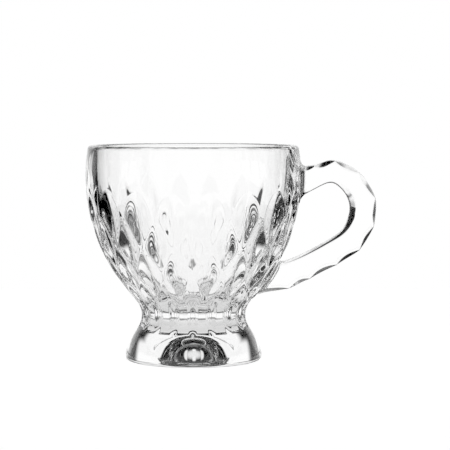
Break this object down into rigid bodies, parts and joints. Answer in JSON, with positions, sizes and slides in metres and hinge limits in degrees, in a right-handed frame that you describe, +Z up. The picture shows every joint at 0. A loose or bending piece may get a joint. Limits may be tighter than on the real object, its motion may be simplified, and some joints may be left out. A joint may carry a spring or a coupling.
{
  "type": "glass tea cup",
  "caption": "Clear footed tea cup with olive cuts round a heavy rounded bowl, a flared solid foot and a strap handle with faceted edges; holds a serving of hot tea.",
  "frame": {"origin": "on the bowl's axis, in the plane the foot stands on", "axes": "+Z up along the bowl's axis, +X towards the handle"},
  "size_m": [0.1013, 0.075, 0.075],
  "materials": {
    "clear_glass": "clear colourless soda-lime glass, fire-polished, with cuts in relief"
  },
  "bodies": {
    "root": {"bowl": "clear_glass", "foot": "clear_glass", "handle": "clear_glass"}
  },
  "joints": []
}
